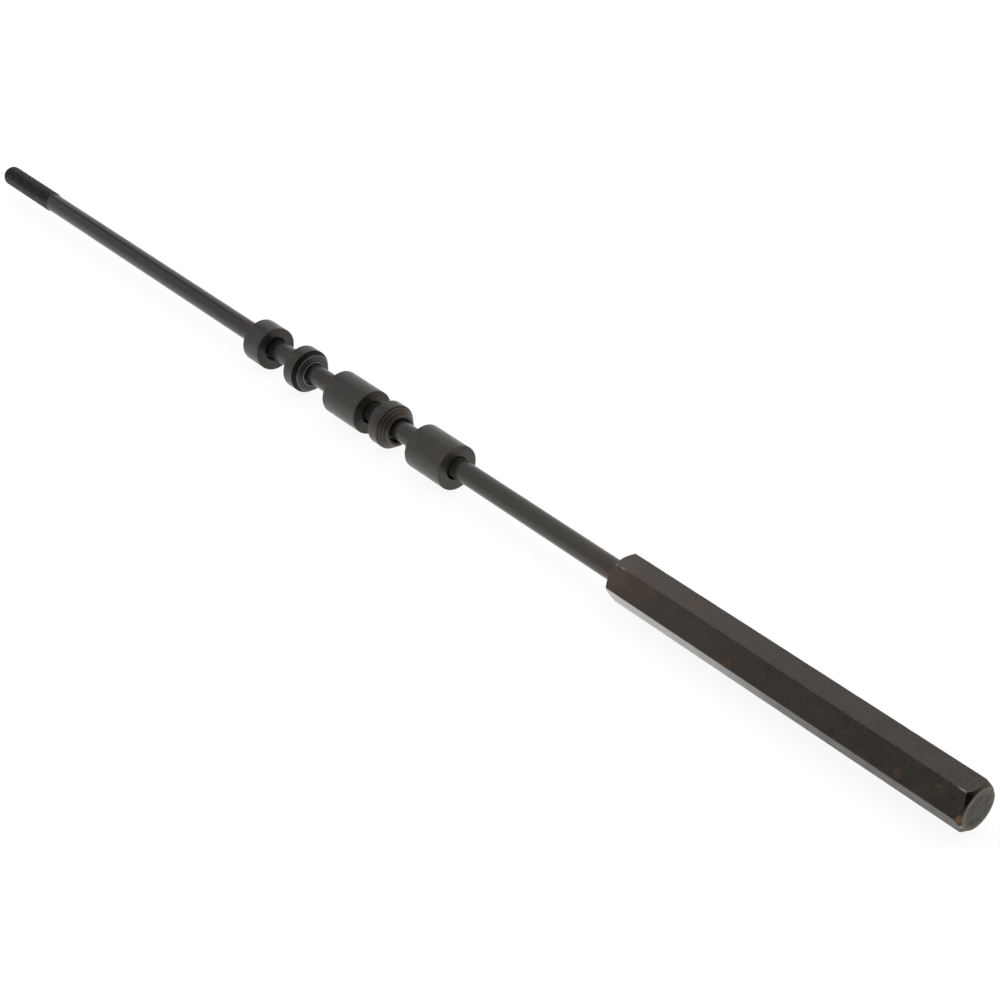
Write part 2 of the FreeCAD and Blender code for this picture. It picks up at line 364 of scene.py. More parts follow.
def shader_group(name, inputs, outputs, build):
    """Make a shader node group once. inputs are (name, type, default), and build returns its outputs."""
    tree = bpy.data.node_groups.get(name)
    if tree:
        return tree
    tree = bpy.data.node_groups.new(name, "ShaderNodeTree")
    for label, kind, default in inputs:
        socket = tree.interface.new_socket(label, in_out="INPUT", socket_type=kind)
        if default is not None:
            socket.default_value = default
    for label, kind in outputs:
        tree.interface.new_socket(label, in_out="OUTPUT", socket_type=kind)
    source = add_node(tree, "NodeGroupInput")
    target = add_node(tree, "NodeGroupOutput")
    for label, value in build(tree, source.outputs).items():
        tree.links.new(value, target.inputs[label])
    return tree


def place_group(tree, group, **inputs):
    node = add_node(tree, "ShaderNodeGroup", node_tree=group)
    feed(tree, node, **inputs)
    return node.outputs


NUMBER, VECTOR, COLOUR = "NodeSocketFloat", "NodeSocketVector", "NodeSocketColor"


def oxide_group():
    """Cloudy oxide between a dark and a rubbed colour, with a warm film in patches."""
    def build(tree, given):
        cloud = noise_texture(tree, given["Vector"], given["Scale"], 6.0, 0.62, 0.4)
        fine = noise_texture(tree, vector_maths(tree, "MULTIPLY", given["Vector"], (7.0, 7.0, 7.0)),
                             given["Scale"], 3.0, 0.6)
        grain = noise_texture(tree, given["Vector"], given["Grain"], 3.0, 0.7)
        blotch = maths(tree, "MULTIPLY_ADD", fine, 0.25, maths(tree, "MULTIPLY", cloud, 0.4))
        blotch = maths(tree, "MULTIPLY_ADD", grain, 0.35, blotch)
        rubbed = ramp_range(tree, blotch, 0.42, 0.58)
        warm = noise_texture(tree, vector_maths(tree, "ADD", given["Vector"], (31.0, 17.0, 5.0)),
                             maths(tree, "MULTIPLY", given["Scale"], 0.7), 5.0, 0.6, 0.8)
        film = maths(tree, "MULTIPLY", ramp_range(tree, warm, 0.46, 0.72), given["Warmth"])
        base = mix_colours(tree, rubbed, given["Dark"], given["Light"])
        return {"Color": mix_colours(tree, film, base, given["Film"]), "Rubbed": rubbed, "Warm": film}
    return shader_group("Oxide clouds", [
        ("Vector", VECTOR, None), ("Scale", NUMBER, 0.2), ("Dark", COLOUR, None), ("Light", COLOUR, None),
        ("Film", COLOUR, None), ("Warmth", NUMBER, 0.3), ("Grain", NUMBER, 2.2),
    ], [("Color", COLOUR), ("Rubbed", NUMBER), ("Warm", NUMBER)], build)


def rust_group():
    """Rust specks and patches: more where Gather is high."""
    def build(tree, given):
        body = noise_texture(tree, given["Vector"], given["Scale"], 7.0, 0.68, 0.6)
        level = maths(tree, "ADD", body, maths(tree, "MULTIPLY", given["Gather"], 0.32))
        mask = ramp_range(tree, level, maths(tree, "SUBTRACT", 0.80, given["Amount"]),
                          maths(tree, "SUBTRACT", 0.90, given["Amount"]))
        tint = noise_texture(tree, given["Vector"], maths(tree, "MULTIPLY", given["Scale"], 4.0), 3.0)
        return {"Mask": mask, "Color": mix_colours(tree, ramp_range(tree, tint, 0.35, 0.65), given["Old"],
                                                   given["Fresh"])}
    return shader_group("Rust specks", [
        ("Vector", VECTOR, None), ("Scale", NUMBER, 0.5), ("Amount", NUMBER, 0.1), ("Gather", NUMBER, 0.0),
        ("Old", COLOUR, None), ("Fresh", COLOUR, None),
    ], [("Mask", NUMBER), ("Color", COLOUR)], build)


def wear_group():
    """Bare metal on outward corners, broken up by noise."""
    def build(tree, given):
        chips = noise_texture(tree, given["Vector"], given["Scale"], 5.0, 0.65)
        level = maths(tree, "ADD", maths(tree, "MULTIPLY", chips, 0.9), given["Amount"])
        shown = maths(tree, "MULTIPLY", ramp_range(tree, level, 0.55, 0.85), given["Edge"])
        return {"Mask": ramp_range(tree, shown, 0.15, 0.7)}
    return shader_group("Worn corners", [
        ("Vector", VECTOR, None), ("Scale", NUMBER, 1.2), ("Edge", NUMBER, 0.0), ("Amount", NUMBER, 0.1),
    ], [("Mask", NUMBER)], build)


def spot_group():
    """A ragged patch round a point: 1 inside, fading to 0 at its reach."""
    def build(tree, given):
        offset = vector_maths(tree, "SUBTRACT", given["Vector"], given["Centre"])
        reach = vector_maths(tree, "LENGTH", vector_maths(tree, "DIVIDE", offset, given["Reach"]))
        ragged = noise_texture(tree, given["Vector"], given["Scale"], 4.0, 0.6)
        level = maths(tree, "MULTIPLY_ADD", maths(tree, "SUBTRACT", ragged, 0.5), given["Ragged"], reach)
        return {"Mask": ramp_range(tree, level, 0.35, 1.0, 1.0, 0.0)}
    return shader_group("Ragged patch", [
        ("Vector", VECTOR, None), ("Centre", VECTOR, None), ("Reach", VECTOR, (1.0, 1.0, 1.0)),
        ("Scale", NUMBER, 1.5), ("Ragged", NUMBER, 1.2),
    ], [("Mask", NUMBER)], build)


def tool_mark_group():
    """Fine rings that a lathe leaves: they follow the distance along and from the turning axis."""
    def build(tree, given):
        across = vector_maths(tree, "MULTIPLY", given["Vector"], (0.0, 1.0, 1.0))
        radius = vector_maths(tree, "LENGTH", across)
        drift = noise_texture(tree, given["Vector"], 0.15, 2.0)
        ring = add_node(tree, "ShaderNodeCombineXYZ")
        feed(tree, ring, X=maths(tree, "MULTIPLY", separate(tree, given["Vector"])["X"], given["Fineness"]),
             Y=maths(tree, "MULTIPLY", radius, given["Fineness"]), Z=maths(tree, "MULTIPLY", drift, 1.5))
        marks = noise_texture(tree, ring.outputs[0], 1.0, 3.0, 0.7)
        return {"Height": marks, "Radius": radius}
    return shader_group("Lathe rings", [("Vector", VECTOR, None), ("Fineness", NUMBER, 5.0)],
                        [("Height", NUMBER), ("Radius", NUMBER)], build)


def drawn_group():
    """Streaks along a drawn bar, with short scratches between them."""
    def build(tree, given):
        stretched = vector_maths(tree, "MULTIPLY", given["Vector"], (0.05, 1.0, 1.0))
        streak = noise_texture(tree, stretched, given["Fineness"], 4.0, 0.7)
        short = vector_maths(tree, "MULTIPLY", given["Vector"], (0.35, 2.2, 2.2))
        scratch = noise_texture(tree, short, given["Fineness"], 2.0, 0.6, 0.5)
        return {"Height": maths(tree, "MULTIPLY_ADD", scratch, 0.4, maths(tree, "MULTIPLY", streak, 0.6)),
                "Streak": streak}
    return shader_group("Drawn streaks", [("Vector", VECTOR, None), ("Fineness", NUMBER, 3.0)],
                        [("Height", NUMBER), ("Streak", NUMBER)], build)


# --------------------------------------------------------------------------------------------- materials

class SteelBuilder:
    """The layers that every steel here shares: oxide, rust, wear, roughness and relief.

    A place is a point in metres along the tool and an offset from it in millimetres: along, across and up
    from the piece's own axis.
    """

    def __init__(self, name, along, axis_height, warmth):
        self.finish = bpy.context.scene.punch_finish
        self.material = bpy.data.materials.new(name)
        self.material.use_nodes = True
        self.tree = self.material.node_tree
        self.tree.nodes.clear()
        self.shader = add_node(self.tree, "ShaderNodeBsdfPrincipled")
        self.shader.inputs["Specular Tint"].default_value = (1.0, 0.5 + 0.5 * warmth, warmth, 1.0)
        output = add_node(self.tree, "ShaderNodeOutputMaterial")
        self.tree.links.new(self.shader.outputs[0], output.inputs["Surface"])
        mapping = add_node(self.tree, "ShaderNodeMapping", vector_type="POINT")
        feed(self.tree, mapping, Vector=add_node(self.tree, "ShaderNodeTexCoord").outputs["Object"],
             Location=(-along * PER_MM, 0.0, -axis_height * PER_MM), Scale=(PER_MM, PER_MM, PER_MM))
        self.vector = mapping.outputs["Vector"]
        self.parts = separate(self.tree, self.vector)
        self.along = along
        self.edge = add_node(self.tree, "ShaderNodeAttribute", attribute_name=EDGE_LAYER).outputs["Fac"]
        self.hollow = add_node(self.tree, "ShaderNodeAttribute", attribute_name=HOLLOW_LAYER).outputs["Fac"]
        self.metal = self.height = self.coat_and_painted_sheen = None

    def times(self, first, second):
        return maths(self.tree, "MULTIPLY", first, second)

    def ramp(self, value, *limits):
        return ramp_range(self.tree, value, *limits)

    def noise(self, *settings):
        return noise_texture(self.tree, self.vector, *settings)

    def effect(self, group, **inputs):
        return place_group(self.tree, group, Vector=self.vector, **inputs)

    def lay_oxide(self, dark, light, scale, warmth, rough_low, rough_high):
        made = self.effect(oxide_group(), Scale=scale, Dark=rgba(dark), Light=rgba(light),
                           Film=rgba(self.finish.brown_stain), Warmth=warmth)
        self.colour = made["Color"]
        self.roughness = self.ramp(made["Rubbed"], 0.0, 1.0, rough_high, rough_low, False)

    def relief(self, height, strength):
        part = self.times(height, strength)
        self.height = part if self.height is None else maths(self.tree, "ADD", self.height, part)

    def tint(self, mask, colour, roughness=None):
        self.colour = mix_colours(self.tree, mask, self.colour, colour)
        if roughness is not None:
            node = add_node(self.tree, "ShaderNodeMix", data_type="FLOAT")
            sockets = node.inputs[0], node.inputs[2], node.inputs[3]
            fill(self.tree, sockets, (mask, self.roughness, roughness))
            self.roughness = node.outputs[0]

    def patch(self, anchor, offset, reach, ragged=1.2, scale=1.5):
        """A ragged mask round a place."""
        centre = ((anchor - self.along) * PER_MM + offset[0], offset[1], offset[2])
        return self.effect(spot_group(), Centre=centre, Reach=reach, Ragged=ragged, Scale=scale)["Mask"]

    def spot(self, anchor, offset, reach, colour, strength=1.0, roughness=None, *look):
        """A ragged stain at a place."""
        self.tint(self.times(self.patch(anchor, offset, reach, *look), strength), colour, roughness)

    def bare(self, mask, roughness):
        self.tint(mask, self.finish.bare_metal, roughness)
        self.metal = mask if self.metal is None else maths(self.tree, "MAXIMUM", self.metal, mask)

    def rub(self, anchor, offset, reach, strength, whole=0.3):
        """Bare metal on the outward corners near a place: chipped, or unbroken where whole is high."""
        mask = self.times(self.patch(anchor, offset, reach, 0.9, 2.5), self.ramp(self.edge, 0.5, 1.0))
        chips = self.ramp(self.noise(1.1, 4.0, 0.7), 0.5 - whole, 0.6)
        self.bare(self.times(self.times(mask, chips), strength), 0.3)

    def wear(self, scale, amount, edge=None):
        edge = self.edge if edge is None else edge
        self.bare(self.effect(wear_group(), Scale=scale, Edge=edge, Amount=amount)["Mask"], 0.32)

    def fade_along(self, anchor, start, stop):
        """0 at start and 1 at stop, both in millimetres from a point along the tool."""
        along = (anchor - self.along) * PER_MM
        return self.ramp(self.parts["X"], along + start, along + stop, 0.0, 1.0, False)

    def band(self, value, low, high, soft):
        """1 where a value in millimetres lies between two limits, fading to 0 over soft at each."""
        rise = self.ramp(value, low - soft, low + soft)
        return self.times(rise, self.ramp(value, high - soft, high + soft, 1.0, 0.0))

    def rust(self, scale, amount, gather=None):
        made = self.effect(rust_group(), Scale=scale, Amount=amount,
                           Gather=self.hollow if gather is None else gather,
                           Old=rgba(self.finish.rust_dark), Fresh=rgba(self.finish.rust_bright))
        self.tint(made["Mask"], made["Color"], 0.75)
        self.relief(made["Mask"], 0.4)

    def complete(self, relief_mm, gloss=0.5):
        self.shader.inputs["Specular IOR Level"].default_value = gloss
        feed(self.tree, self.shader, Base_Color=self.colour, Roughness=self.roughness)
        if self.metal is not None:
            feed(self.tree, self.shader, Metallic=self.metal)
        # On the handle's lower flat this coat mask also marks where painted sheen goes.
        if self.coat_and_painted_sheen is not None:
            self.shader.inputs["Coat Roughness"].default_value = 0.15
            feed(self.tree, self.shader, Coat_Weight=self.coat_and_painted_sheen)
        bump = add_node(self.tree, "ShaderNodeBump")
        feed(self.tree, bump, Strength=1.0, Distance=relief_mm * MM, Height=self.height)
        feed(self.tree, self.shader, Normal=bump.outputs["Normal"])
        return self.material


def handle_box():
    low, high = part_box("hex_handle")
    return low.x, high.x, (low.z + high.z) / 2.0


def sleeve_axis_height():
    low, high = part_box("handle_sleeve")
    return (low.z + high.z) / 2.0


def black_bar_steel():
    """Blackened drawn hexagon bar: brown at the front, streaked along its length, specked with rust."""
    front, rear, axis_height = handle_box()
    steel = SteelBuilder("Blackened bar", (front + rear) / 2.0, axis_height, 0.82)
    finish = steel.finish
    steel.lay_oxide(finish.oxide_dark, finish.oxide_light, 0.16, 0.35, 0.27, 0.38)
    streaks = steel.effect(drawn_group(), Fineness=2.2)
    steel.tint(steel.ramp(streaks["Streak"], 0.42, 0.7, 0.0, 0.4), finish.oxide_light)
    steel.tint(steel.times(steel.fade_along(front, 70.0, 0.0), 0.55), (0.058, 0.047, 0.036))
    # Lighter speckles on the flat that faces up only.
    pale_speckle = steel.ramp(steel.noise(1.3, 5.0, 0.75), 0.42, 0.6)
    steel.tint(steel.times(steel.ramp(steel.parts["Z"], 6.8, 7.0), pale_speckle), (0.052, 0.045, 0.037))
    steel.tint(steel.ramp(steel.noise(1.9, 4.0, 0.8), 0.52, 0.68, 0.0, 0.6), (0.050, 0.042, 0.034))

    # The lower flat on the -Y side has a clear coat and a painted reflection of the floor at its front,
    # lighter and glossier, and a painted contact shadow behind that, darker and duller.
    low_flat = steel.times(steel.band(steel.parts["Z"], -6.9, -0.1, 0.1),
                           steel.band(steel.parts["Y"], -8.2, -4.0, 0.1))
    painted_sheen_mask = steel.times(low_flat, steel.fade_along(front, 72.0, -10.0))
    steel.coat_and_painted_sheen = steel.times(painted_sheen_mask, steel.ramp(streaks["Height"], 0.3, 0.6, 0.55, 1.0))
    steel.tint(steel.coat_and_painted_sheen, (0.060, 0.058, 0.056), 0.22)
    painted_shadow_mask = steel.times(steel.fade_along(front, 50.0, 90.0), low_flat)
    painted_shadow_mask = steel.times(painted_shadow_mask, steel.ramp(streaks["Streak"], 0.35, 0.6, 1.0, 0.3))
    steel.tint(painted_shadow_mask, finish.oxide_dark, 0.5)

    steel.spot(front, (6.0, -4.0, 3.0), (17.0, 9.0, 9.0), (0.060, 0.036, 0.020), 0.7)
    steel.spot(front, (1.0, -3.0, 4.0), (10.0, 9.0, 9.0), (0.100, 0.082, 0.064), 0.5, None, 0.8)
    steel.spot(rear, (-9.5, -5.4, 4.6), (1.3, 0.8, 0.7), (0.085, 0.055, 0.012), 0.6, 0.6)
    for anchor, offset, size in ((front, (17.3, -4.6, 6.2), 2.6), (front, (30.2, 0.0, 7.0), 2.8),
                                 (rear, (-18.0, 1.8, 7.0), 1.2), (rear, (-17.5, -0.6, 7.0), 1.0),
                                 (rear, (-21.8, -7.1, 1.6), 1.8), (rear, (-84.0, -7.5, 0.9), 2.2)):
        steel.spot(anchor, offset, (size, size, size), finish.rust_bright, 0.4, 0.7, 1.6, 1.1)
    steel.rust(0.55, 0.10)
    steel.rust(0.14, 0.04)
    steel.wear(0.9, -0.05)
    steel.rub(front, (3.0, -4.0, 7.0), (5.5, 1.5, 1.5), 1.0, 0.02)
    steel.rub(rear, (-2.6, -3.6, 7.0), (2.6, 2.0, 2.0), 0.7)
    steel.relief(streaks["Height"], 1.2)
    steel.relief(steel.noise(2.5, 5.0, 0.7), 0.8)
    steel.relief(steel.noise(0.9, 5.0, 0.75), 2.4)
    return steel.complete(0.012)


def turned_end_steel():
    """The handle's turned ends: ringed, browner, with a rubbed face and a rusty corner."""
    front, rear, axis_height = handle_box()
    steel = SteelBuilder("Turned bar end", (front + rear) / 2.0, axis_height, 0.86)
    finish = steel.finish
    steel.lay_oxide(finish.oxide_dark, (0.021, 0.018, 0.016), 0.35, 0.3, 0.44, 0.58)
    steel.spot(rear, (-1.0, 1.2, 7.2), (2.0, 3.4, 1.6), (0.060, 0.042, 0.026), 0.8, 0.5)
    # A near-black, glossier patch on the struck end's cone between the top flat and the upper -Y flat:
    # painted dark reflection.
    steel.spot(rear, (-1.0, -4.4, 5.4), (1.8, 3.2, 3.6), (0.002, 0.002, 0.001), 1.0, 0.28, 0.3)
    steel.spot(rear, (-0.9, -7.1, 0.2), (1.3, 1.2, 1.9), (0.17, 0.085, 0.022), 0.9, 0.7, 0.7)
    steel.spot(rear, (-0.6, -6.2, -2.9), (1.2, 1.2, 1.0), finish.bare_metal, 0.55, 0.5, 1.4, 3.0)
    steel.rust(0.8, 0.10, 0.0)
    steel.tint(steel.times(steel.hollow, 0.85), (0.19, 0.130, 0.055), 0.45)
    steel.rub(rear, (-3.0, -3.0, 7.0), (3.6, 2.4, 2.0), 0.8)
    steel.relief(steel.effect(tool_mark_group(), Fineness=3.5)["Height"], 1.0)
    steel.relief(steel.noise(3.0, 5.0, 0.7), 0.6)
    return steel.complete(0.014, 0.42)


def rod_steel():
    """Satin rod: darker towards its thread, stained brown near the handle, and dark brown on top just
    before two sleeves.
    """
    low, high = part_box("threaded_rod")
    front, _rear, axis_height = handle_box()
    steel = SteelBuilder("Satin rod", (low.x + high.x) / 2.0, axis_height, 0.92)
    finish = steel.finish
    steel.lay_oxide(finish.oxide_dark, (0.012, 0.011, 0.010), 0.22, 0.1, 0.22, 0.30)
    streaks = steel.effect(drawn_group(), Fineness=3.0)
    paler = steel.times(steel.fade_along(0.0, -120.0, front * PER_MM), 0.9)
    steel.tint(paler, (0.060, 0.054, 0.046))
    steel.tint(steel.ramp(streaks["Streak"], 0.40, 0.72, 0.0, 0.4), finish.steel_light)
    steel.spot(front, (-4.0, 0.0, 0.0), (12.0, 9.0, 9.0), (0.055, 0.034, 0.018), 0.8)
    # Dark brown patches on top of the rod just before the tip sleeve and the middle sleeve.
    for node, offset, reach in (("tip_sleeve", (-3.0, 0.0, 2.8), (10.0, 3.5, 2.2)),
                                ("middle_sleeve", (-3.5, -0.5, 3.0), (4.0, 3.0, 2.0))):
        steel.spot(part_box(node)[0].x, offset, reach, finish.rust_dark, 0.6, 0.6)
    steel.rust(0.7, 0.09)
    steel.wear(1.4, 0.05)
    steel.relief(streaks["Height"], 0.8)
    steel.relief(steel.noise(3.2, 5.0, 0.7), 0.8)
    steel.relief(steel.noise(0.9, 4.0, 0.75), 1.6)
    return steel.complete(0.010)


def thread_steel():
    """Rolled thread: lightly lubricated, with rubbed crests."""
    low, _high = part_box("threaded_rod")
    steel = SteelBuilder("Rolled thread", low.x, handle_box()[2], 0.92)
    steel.lay_oxide(steel.finish.steel_light, (0.060, 0.056, 0.050), 0.3, 0.15, 0.26, 0.36)
    steel.rust(0.9, 0.05)
    steel.wear(1.8, 0.18, steel.times(steel.edge, 0.55))
    steel.relief(steel.noise(3.5, 4.0, 0.7), 1.0)
    return steel.complete(0.010)


def turned_sleeve_steel(node, paleness):
    """A plain sleeve: turned steel with faint rings, scuffs, a dusty brown film and bright thin corners."""
    low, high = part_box(node)
    steel = SteelBuilder(f"Turned {node}", (low.x + high.x) / 2.0, sleeve_axis_height(), 0.88)
    finish = steel.finish
    steel.lay_oxide(finish.steel_dark, finish.steel_light, 0.22, 0.3, 0.25, 0.36)
    steel.tint(paleness, (0.050, 0.045, 0.038))
    rings = steel.effect(tool_mark_group(), Fineness=4.0)["Height"]
    steel.tint(steel.ramp(rings, 0.45, 0.75, 0.0, 0.3), finish.steel_light)
    steel.spot(high.x, (0.0, 2.0, 6.2), (1.2, 4.0, 2.4), (0.060, 0.036, 0.018), 0.4 + paleness, 0.55)
    steel.spot(high.x, (0.0, -5.8, -3.6), (0.8, 1.6, 1.6), (0.085, 0.050, 0.020), paleness, 0.6)
    steel.rust(0.8, 0.09)
    steel.wear(1.5, -0.05)
    scuffs = steel.noise(1.0, 5.0, 0.75)
    steel.tint(steel.ramp(scuffs, 0.50, 0.64, 0.0, 0.6), (0.062, 0.057, 0.050))
    steel.relief(scuffs, 2.4)
    steel.relief(rings, 1.0)
    steel.relief(steel.noise(3.0, 5.0, 0.7), 0.9)
    return steel.complete(0.010)


def thin_collar_steel():
    """Thin collar: brown outside, a cone painted near-black as shade, a painted highlight ring at the
    face's edge, then a cool scratched face with painted shade and a painted highlight round the bore's rim.
    """
    low, _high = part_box("thin_stepped_collar")
    collar = bpy.context.scene.punch_collars
    sleeve = bpy.context.scene.punch_sleeves
    steel = SteelBuilder("Thin collar", low.x, sleeve_axis_height(), 0.90)
    steel.lay_oxide(steel.finish.steel_dark, (0.040, 0.033, 0.026), 0.3, 0.45, 0.25, 0.36)
    rings = steel.effect(tool_mark_group(), Fineness=6.0)
    outer, bore = sleeve.diameter / 2.0 * PER_MM, sleeve.bore / 2.0 * PER_MM
    # worn is the radius of the face's outer edge, where a ring of painted highlight goes.
    worn = outer - (collar.thin_fall + 0.5 * collar.thin_ease) * PER_MM
    rim = bore + collar.rim_width * PER_MM
    near_end = steel.fade_along(low.x + collar.thin_land, -0.1, 0.1)

    def ring(strength, colour, roughness, low, high, soft):
        """Colour the near end between two radii in millimetres."""
        mask = steel.times(steel.band(rings["Radius"], low, high, soft), near_end)
        steel.tint(steel.times(mask, strength), colour, roughness)

    # Near-black over the cone: painted shade, the cone's dark reflection.
    ring(1.0, (0.002, 0.003, 0.002), 0.6, worn + 0.2, outer + 0.5, 0.1)
    ring(1.0, (0.024, 0.026, 0.031), 0.30, bore, worn - 0.1, 0.1)
    marks = steel.ramp(rings["Height"], 0.45, 0.65, 0.0, 0.6)
    steel.tint(steel.times(marks, near_end), (0.060, 0.062, 0.070))
    steel.rust(0.9, 0.05, 0.0)
    # A pale ring at the face's outer edge: painted highlight.
    ring(0.8, (0.14, 0.135, 0.13), 0.26, worn - 0.14, worn + 0.1, 0.08)
    # A near-black ring just outside the bore's rim: painted shade; then a pale ring on the rim: painted
    # highlight.
    ring(1.0, (0.001, 0.001, 0.001), 0.6, rim + 0.05, rim + 0.40, 0.08)
    ring(0.9, (0.32, 0.31, 0.29), 0.26, rim - 0.16, rim + 0.04, 0.05)
    steel.relief(rings["Height"], 1.3)
    steel.relief(steel.noise(3.0, 5.0, 0.7), 0.7)
    return steel.complete(0.012)


def painted_shade_steel(node):
    """Painted shade on a collar's cone or round its bore: near-black and matt, with hardly any gloss."""
    steel = SteelBuilder(f"Black {node}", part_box(node)[0].x, sleeve_axis_height(), 0.90)
    steel.lay_oxide(steel.finish.oxide_dark, (0.010, 0.010, 0.010), 0.4, 0.1, 0.45, 0.6)
    steel.relief(steel.effect(tool_mark_group(), Fineness=6.0)["Height"], 1.0)
    return steel.complete(0.012, 0.16)


def thick_collar_steel():
    """Thick collar: grey outside with chatter marks, brown rings in the feed marks of its cone."""
    low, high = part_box("thick_stepped_collar")
    collar = bpy.context.scene.punch_collars
    steel = SteelBuilder("Thick collar", low.x, sleeve_axis_height(), 0.88)
    finish = steel.finish
    steel.lay_oxide(finish.steel_dark, finish.steel_light, 0.3, 0.2, 0.25, 0.36)
    rings = steel.effect(tool_mark_group(), Fineness=3.5)
    on_cone = steel.times(steel.fade_along(low.x + collar.thick_land, -0.05, 0.15),
                          steel.fade_along(high.x, -0.2, -0.5))
    steel.tint(on_cone, (0.016, 0.011, 0.007), 0.45)
    banded = steel.times(steel.ramp(rings["Height"], 0.42, 0.60), on_cone)
    steel.tint(steel.times(banded, 0.6), (0.052, 0.034, 0.022), 0.42)
    # Lighter crests of the cone's feed marks: painted highlight.
    crests = steel.times(steel.edge, on_cone)
    steel.tint(steel.times(crests, 0.75), (0.100, 0.080, 0.062), 0.35)
    orange = steel.patch(high.x, (-2.0, 2.2, 6.6), (2.4, 5.0, 1.8), 0.8, 0.8)
    steel.tint(steel.times(orange, steel.times(banded, 0.9)), finish.rust_bright, 0.6)
    # Near-black in the roots of the feed marks: painted shade.
    steel.tint(steel.times(steel.hollow, on_cone), (0.001, 0.001, 0.001), 0.6)
    steel.rust(0.9, 0.06, 0.0)
    # A pale ring at the face's outer edge: painted highlight.
    face = (bpy.context.scene.punch_sleeves.bore / 2.0 + collar.thick_mouth + collar.thick_face) * PER_MM
    painted_highlight_ring = steel.times(steel.band(rings["Radius"], face - 0.55, face + 0.1, 0.08),
                       steel.fade_along(high.x, -0.3, -0.1))
    steel.tint(steel.times(painted_highlight_ring, 0.9), (0.105, 0.098, 0.090), 0.3)
    steel.wear(1.6, 0.0, steel.times(steel.edge, 0.5))
    steel.relief(rings["Height"], 1.2)
    steel.relief(steel.noise(3.0, 5.0, 0.7), 0.7)
    return steel.complete(0.014)


# ------------------------------------------------------------------------------------------------ pieces

def handle_ring(settings, axis_height, along):
    """A hexagon with rounded corners across the bar, flats up and down, as a ring of edges."""
    bm = bmesh.new()
    bmesh.ops.create_circle(bm, cap_ends=False, segments=6, radius=settings.across_flats / math.sqrt(3.0))
    tangent = settings.corner_round * math.tan(math.radians(30.0))
    bmesh.ops.bevel(bm, geom=bm.verts[:], offset=tangent, affect="VERTICES", segments=5, profile=0.5,
                    material=-1)
    longest = max(edge.calc_length() for edge in bm.edges)
    flats = [edge for edge in bm.edges if edge.calc_length() > 0.9 * longest]
    bmesh.ops.subdivide_edges(bm, edges=flats, cuts=settings.flat_steps - 1)
    stand = Matrix.Translation((along, 0.0, axis_height)) @ Matrix.Rotation(math.radians(90.0), 4, "Y")
    bmesh.ops.transform(bm, matrix=stand, verts=bm.verts[:])
    return bm


def handle_stations(front, rear, settings):
    """Places of the rings along the bar: close together over the turned ends."""
    fine = 0.1 * MM
    reach_front = settings.front_turning * 1.1
    reach_rear = settings.struck_turning * 1.15
    places = [front + fine * step for step in range(1, int(reach_front / fine) + 1)]
    start, stop = places[-1], rear - reach_rear
    count = int((stop - start) / (1.5 * MM))
    places += [start + (stop - start) * step / count for step in range(1, count + 1)]
    count = int(reach_rear / (0.08 * MM))
    places += [stop + (rear - stop) * step / count for step in range(1, count + 1)]
    return places


